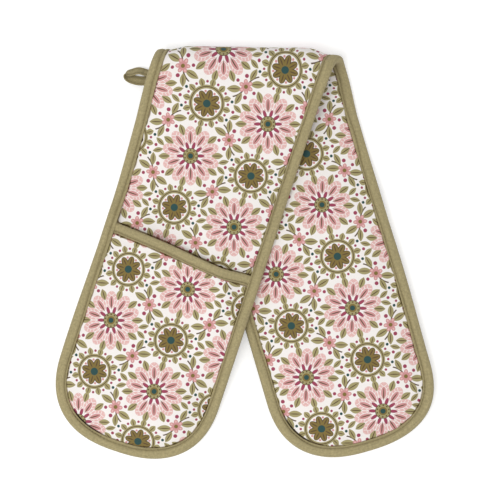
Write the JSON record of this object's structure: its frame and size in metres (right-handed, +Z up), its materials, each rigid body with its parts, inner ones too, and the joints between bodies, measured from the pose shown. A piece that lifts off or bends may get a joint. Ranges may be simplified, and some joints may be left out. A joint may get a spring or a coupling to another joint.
{
  "type": "double oven glove",
  "caption": "Padded strip folded at its middle and laid down in a V, with a hand pocket at each end, taped edges and a hanging loop.",
  "frame": {"origin": "on the surface that the glove lies on, under the middle of its outline", "axes": "+Z up off the surface, +Y from the tips towards the fold, +X from the upper arm towards the lower arm"},
  "size_m": [0.3892, 0.4208, 0.0384],
  "materials": {
    "printed_cotton": "printed plain-weave cotton, matt",
    "wadding": "soft needled wadding",
    "lining_cotton": "plain undyed cotton, matt",
    "binding_tape": "plain-weave cotton bias tape, matt",
    "loop_tape": "folded and stitched cotton tape, matt"
  },
  "bodies": {
    "lower_arm": {"lower_front_cover": "printed_cotton", "lower_wadding": "wadding", "lower_back_cover": "printed_cotton", "lower_edge_binding": "binding_tape", "lower_pocket_cover": "printed_cotton", "lower_pocket_wadding": "wadding", "lower_pocket_lining": "lining_cotton", "lower_pocket_binding": "binding_tape"},
    "upper_arm": {"upper_front_cover": "printed_cotton", "upper_wadding": "wadding", "upper_back_cover": "printed_cotton", "upper_edge_binding": "binding_tape", "upper_pocket_cover": "printed_cotton", "upper_pocket_wadding": "wadding", "upper_pocket_lining": "lining_cotton", "upper_pocket_binding": "binding_tape"},
    "hanging_loop": {"hanging_loop": "loop_tape"}
  },
  "joints": [
    {"name": "fold", "type": "hinge", "parent": "lower_arm", "child": "upper_arm", "pos_m": [0.0008, 0.21056, 0.0192], "axis": [-1, 0, 0], "range_deg": [0, 179]},
    {"name": "loop_swing", "type": "hinge", "parent": "lower_arm", "child": "hanging_loop", "pos_m": [-0.08065, 0.1862, 0.0055], "axis": [-0.2974, 0.9548, 0], "range_deg": [0, 40]}
  ]
}
